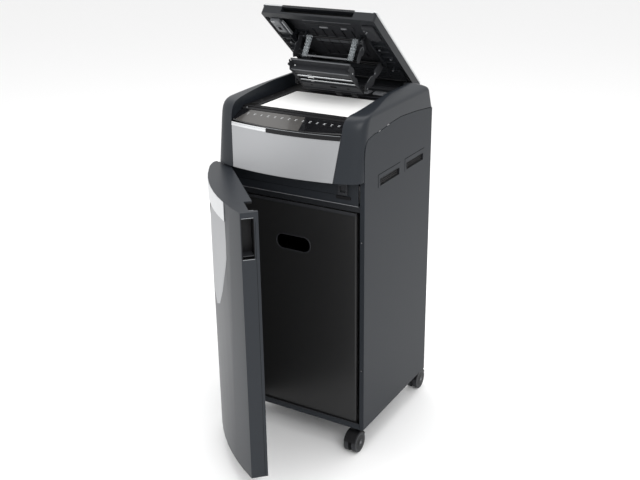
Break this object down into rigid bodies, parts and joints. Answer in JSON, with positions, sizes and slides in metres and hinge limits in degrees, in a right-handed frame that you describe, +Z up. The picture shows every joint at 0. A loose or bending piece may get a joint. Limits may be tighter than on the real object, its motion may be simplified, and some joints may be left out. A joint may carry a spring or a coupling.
{
  "type": "paper shredder",
  "caption": "Free-standing office paper shredder on casters with an automatic feed tray, a hinged front door, a pull-out bin and a hinged lid with a folding pressure frame.",
  "frame": {"origin": "on the floor, under the middle of the box round the object with its door and lid open", "axes": "+Z up, the front faces -Y, +X to the right of someone facing the front"},
  "size_m": [0.4938, 0.8369, 1.3192],
  "materials": {
    "painted_steel": "satin",
    "slate_plastic": "fine texture",
    "black_plastic": "satin",
    "gloss_black": "gloss",
    "silver_paint": "metallic silver",
    "bright_silver": "bright silver",
    "grey_plastic": "satin",
    "bin_plastic": "satin",
    "clear_plastic": "clear",
    "chrome": "polished",
    "steel": "brushed",
    "rubber": "matte",
    "paper": "matte",
    "circuit_green": "board"
  },
  "bodies": {
    "cabinet": {"base_plate": "painted_steel", "left_side_panel": "painted_steel", "right_side_panel": "painted_steel", "rear_panel": "painted_steel", "front_rail": "painted_steel", "head_shelf": "steel", "waste_bin": "bin_plastic", "fascia": "black_plastic", "door_striker": "grey_plastic", "left_head_cover": "slate_plastic", "right_head_cover": "slate_plastic", "front_panel": "silver_paint", "front_trim": "gloss_black", "control_panel": "gloss_black", "paper_tray": "black_plastic", "tray_bezel": "black_plastic", "paper_stack": "paper", "rear_head_cover": "slate_plastic", "lid_hinge_bracket_left": "steel", "lid_hinge_bracket_right": "steel", "door_hinge_upper": "steel", "door_hinge_lower": "steel", "cutter_frame_left": "steel", "cutter_frame_right": "steel", "motor": "steel", "control_board": "circuit_green", "power_inlet": "black_plastic", "left_vent_grille": "black_plastic", "right_vent_grille": "black_plastic"},
    "door": {"door_shell": "slate_plastic", "door_inner_panel": "black_plastic", "door_trim_band": "bright_silver", "door_inset_panel": "silver_paint", "door_grip_liner": "black_plastic", "door_latch": "grey_plastic"},
    "lid": {"lid_shell": "slate_plastic", "lid_top_skin": "bright_silver", "lid_centre_panel": "gloss_black", "lid_under_frame": "black_plastic", "lid_latch_left": "grey_plastic", "lid_latch_right": "black_plastic"},
    "press_arms": {"press_arms": "black_plastic"},
    "press_frame": {"press_frame": "black_plastic", "press_bar_front": "chrome", "press_bar_rear": "chrome"},
    "guide_bail": {"guide_bail": "clear_plastic"},
    "cutter_front": {"cutter_shaft_front": "steel"},
    "cutter_rear": {"cutter_shaft_rear": "steel"},
    "reduction": {"reduction_gear": "grey_plastic"},
    "pinion": {"motor_pinion": "steel"},
    "pick": {"pick_roller": "rubber"},
    "rocker": {"mains_rocker": "gloss_black"},
    "caster_1": {"caster_1_fork": "black_plastic"},
    "caster_1_roll": {"caster_1_wheels": "black_plastic"},
    "caster_2": {"caster_2_fork": "black_plastic"},
    "caster_2_roll": {"caster_2_wheels": "black_plastic"},
    "caster_3": {"caster_3_fork": "black_plastic"},
    "caster_3_roll": {"caster_3_wheels": "black_plastic"},
    "caster_4": {"caster_4_fork": "black_plastic"},
    "caster_4_roll": {"caster_4_wheels": "black_plastic"}
  },
  "joints": [
    {"name": "door_hinge", "type": "hinge", "parent": "cabinet", "child": "door", "pos_m": [-0.2151, -0.0755, 0.48], "axis": [0, 0, -1], "range_deg": [-45, 50]},
    {"name": "lid_hinge", "type": "hinge", "parent": "cabinet", "child": "lid", "pos_m": [0.0069, 0.363, 1.031], "axis": [1, 0, 0], "range_deg": [0, 40.2]},
    {"name": "press_arm_pivot", "type": "hinge", "parent": "lid", "child": "press_arms", "pos_m": [0.0069, 0.27667, 1.138], "axis": [1, 0, 0], "range_deg": [-67.25, 0]},
    {"name": "press_frame_pivot", "type": "hinge", "parent": "press_arms", "child": "press_frame", "pos_m": [0.0069, 0.17641, 1.08132], "axis": [1, 0, 0], "range_deg": [0, 67.25]},
    {"name": "guide_bail_pivot", "type": "hinge", "parent": "lid", "child": "guide_bail", "pos_m": [0.0069, 0.18325, 1.21956], "axis": [1, 0, 0], "range_deg": [-95.6, 0]},
    {"name": "cutter_rear_spin", "type": "hinge", "parent": "cabinet", "child": "cutter_rear", "pos_m": [0.0069, 0.154, 0.906], "axis": [1, 0, 0], "continuous": true},
    {"name": "cutter_front_spin", "type": "hinge", "parent": "cabinet", "child": "cutter_front", "pos_m": [0.0069, 0.118, 0.906], "axis": [1, 0, 0], "continuous": true},
    {"name": "reduction_spin", "type": "hinge", "parent": "cabinet", "child": "reduction", "pos_m": [-0.1631, 0.217, 0.906], "axis": [1, 0, 0], "continuous": true},
    {"name": "pinion_spin", "type": "hinge", "parent": "cabinet", "child": "pinion", "pos_m": [-0.1631, 0.271, 0.906], "axis": [1, 0, 0], "continuous": true},
    {"name": "pick_spin", "type": "hinge", "parent": "cabinet", "child": "pick", "pos_m": [0.0069, 0.118, 0.9465], "axis": [1, 0, 0], "continuous": true},
    {"name": "mains_rocker_tilt", "type": "hinge", "parent": "cabinet", "child": "rocker", "pos_m": [0.1259, 0.3845, 0.133], "axis": [1, 0, 0], "range_deg": [-8, 8]},
    {"name": "caster_1_swivel", "type": "hinge", "parent": "cabinet", "child": "caster_1", "pos_m": [-0.1971, -0.028, 0.0815], "axis": [0, 0, 1], "continuous": true},
    {"name": "caster_1_spin", "type": "hinge", "parent": "caster_1", "child": "caster_1_roll", "pos_m": [-0.1971, -0.056, 0.0325], "axis": [1, 0, 0], "continuous": true},
    {"name": "caster_2_swivel", "type": "hinge", "parent": "cabinet", "child": "caster_2", "pos_m": [0.2109, -0.028, 0.0815], "axis": [0, 0, 1], "continuous": true},
    {"name": "caster_2_spin", "type": "hinge", "parent": "caster_2", "child": "caster_2_roll", "pos_m": [0.2109, -0.056, 0.0325], "axis": [1, 0, 0], "continuous": true},
    {"name": "caster_3_swivel", "type": "hinge", "parent": "cabinet", "child": "caster_3", "pos_m": [-0.1971, 0.358, 0.0815], "axis": [0, 0, 1], "continuous": true},
    {"name": "caster_3_spin", "type": "hinge", "parent": "caster_3", "child": "caster_3_roll", "pos_m": [-0.1971, 0.386, 0.0325], "axis": [1, 0, 0], "continuous": true},
    {"name": "caster_4_swivel", "type": "hinge", "parent": "cabinet", "child": "caster_4", "pos_m": [0.2109, 0.358, 0.0815], "axis": [0, 0, 1], "continuous": true},
    {"name": "caster_4_spin", "type": "hinge", "parent": "caster_4", "child": "caster_4_roll", "pos_m": [0.2109, 0.386, 0.0325], "axis": [1, 0, 0], "continuous": true}
  ],
  "couplings": [
    {"joint": "press_arm_pivot", "follows": "lid_hinge", "ratio": -1.6714},
    {"joint": "press_frame_pivot", "follows": "lid_hinge", "ratio": 1.6714},
    {"joint": "guide_bail_pivot", "follows": "lid_hinge", "ratio": -2.376},
    {"joint": "cutter_front_spin", "follows": "cutter_rear_spin", "ratio": -1},
    {"joint": "reduction_spin", "follows": "cutter_rear_spin", "ratio": -0.4},
    {"joint": "pinion_spin", "follows": "cutter_rear_spin", "ratio": 2},
    {"joint": "pick_spin", "follows": "cutter_rear_spin", "ratio": 0.8}
  ]
}
